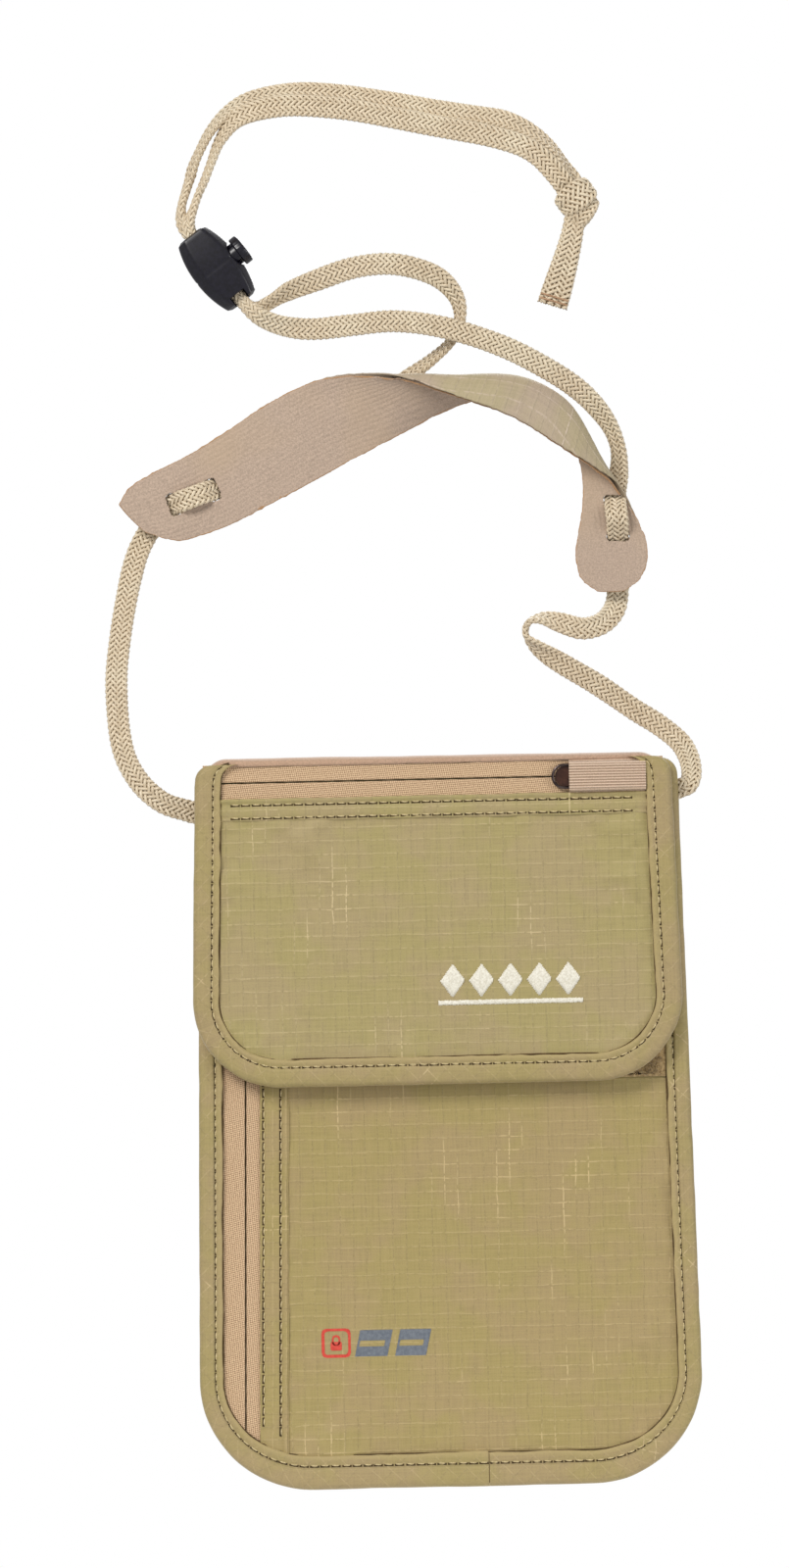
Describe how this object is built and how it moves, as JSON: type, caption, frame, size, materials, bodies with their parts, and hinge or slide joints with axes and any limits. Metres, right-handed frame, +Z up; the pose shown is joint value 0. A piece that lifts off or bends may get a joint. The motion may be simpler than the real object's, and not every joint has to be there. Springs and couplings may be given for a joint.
{
  "type": "neck pouch wallet",
  "caption": "Flat zipped travel pouch with a fold-over flap, worn on an adjustable neck strap with a pad and a cord lock.",
  "frame": {"origin": "centre of the back panel's outer face", "axes": "+Y out of the back face, towards the wearer; +Z up the pouch towards the strap; +X to the right as seen from the front"},
  "size_m": [0.1617, 0.029, 0.3867],
  "materials": {
    "ripstop": "khaki ripstop nylon, slight sheen",
    "binding": "bias-cut khaki ripstop edge tape",
    "skin_fabric": "brushed pinkish beige skin-side fabric",
    "zip_tape": "twill zip tape",
    "zip_coil": "nylon coil",
    "ribbon": "ribbed grosgrain ribbon",
    "shield_foil": "satin metallised film",
    "hook_and_loop": "fuzzy hook and loop strip",
    "gunmetal": "dark plated die-cast metal",
    "cord": "glossy flat braided cord",
    "black_plastic": "moulded, semi-gloss",
    "spring_steel": "bright wire"
  },
  "bodies": {
    "pouch": {"back_panel": "skin_fabric", "body_binding": "binding", "rfid_shield": "shield_foil", "divider_panel": "ripstop", "front_panel": "ripstop", "front_zip_facing": "binding", "front_zip_tape_left": "zip_tape", "front_zip_tape_right": "zip_tape", "front_zip_coil_left": "zip_coil", "front_zip_coil_right": "zip_coil", "loop_tape": "hook_and_loop"},
    "flap": {"flap_lining": "ripstop", "flap_face": "ripstop", "flap_zip_facing": "binding", "flap_zip_tape_upper": "zip_tape", "flap_zip_tape_lower": "zip_tape", "flap_zip_coil_upper": "zip_coil", "flap_zip_coil_lower": "zip_coil", "flap_binding": "binding", "hook_tape": "hook_and_loop", "top_fold": "skin_fabric", "zip_garage": "ribbon"},
    "flap_slider": {"flap_zip_slider": "gunmetal"},
    "flap_ring": {"flap_zip_pull": "gunmetal"},
    "front_slider": {"front_zip_slider": "gunmetal"},
    "front_ring": {"front_zip_pull": "gunmetal"},
    "strap": {"neck_cord_left": "cord", "neck_cord_right": "cord", "cord_knot": "cord", "neck_pad_lining": "skin_fabric", "neck_pad_face": "ripstop"},
    "lock": {"cord_lock_body": "black_plastic", "cord_lock_spring": "spring_steel"},
    "button": {"cord_lock_button": "black_plastic"}
  },
  "joints": [
    {"name": "flap_fold", "type": "hinge", "parent": "pouch", "child": "flap", "pos_m": [0, 0.0001, 0.0993], "axis": [-1, 0, 0], "range_deg": [0, 120]},
    {"name": "flap_zip_slide", "type": "slide", "parent": "flap", "child": "flap_slider", "axis": [-1, 0, 0], "range_m": [0, 0.085]},
    {"name": "flap_pull_swing", "type": "hinge", "parent": "flap_slider", "child": "flap_ring", "pos_m": [0.0369, -0.0114, 0.0944], "axis": [0, 0, 1], "range_deg": [0, 40]},
    {"name": "front_zip_slide", "type": "slide", "parent": "pouch", "child": "front_slider", "axis": [-0.0208, 0, -0.9998], "range_m": [0, 0.13]},
    {"name": "front_pull_swing", "type": "hinge", "parent": "front_slider", "child": "front_ring", "pos_m": [-0.05282, -0.00575, 0.062], "axis": [-1, 0, 0], "range_deg": [0, 10]},
    {"name": "strap_swing", "type": "hinge", "parent": "pouch", "child": "strap", "pos_m": [0, -0.003, 0.0889], "axis": [-0.9997, 0, -0.0252], "range_deg": [0, 90]},
    {"name": "cord_lock_slide", "type": "slide", "parent": "strap", "child": "lock", "axis": [-0.6, 0, 0.8], "range_m": [0, 0.003]},
    {"name": "cord_lock_press", "type": "slide", "parent": "lock", "child": "button", "axis": [-0.8, 0, -0.6], "range_m": [0, 0.002], "stiffness_N_per_m": 150, "springref_m": -0.001, "deforming": ["cord_lock_spring"]}
  ]
}
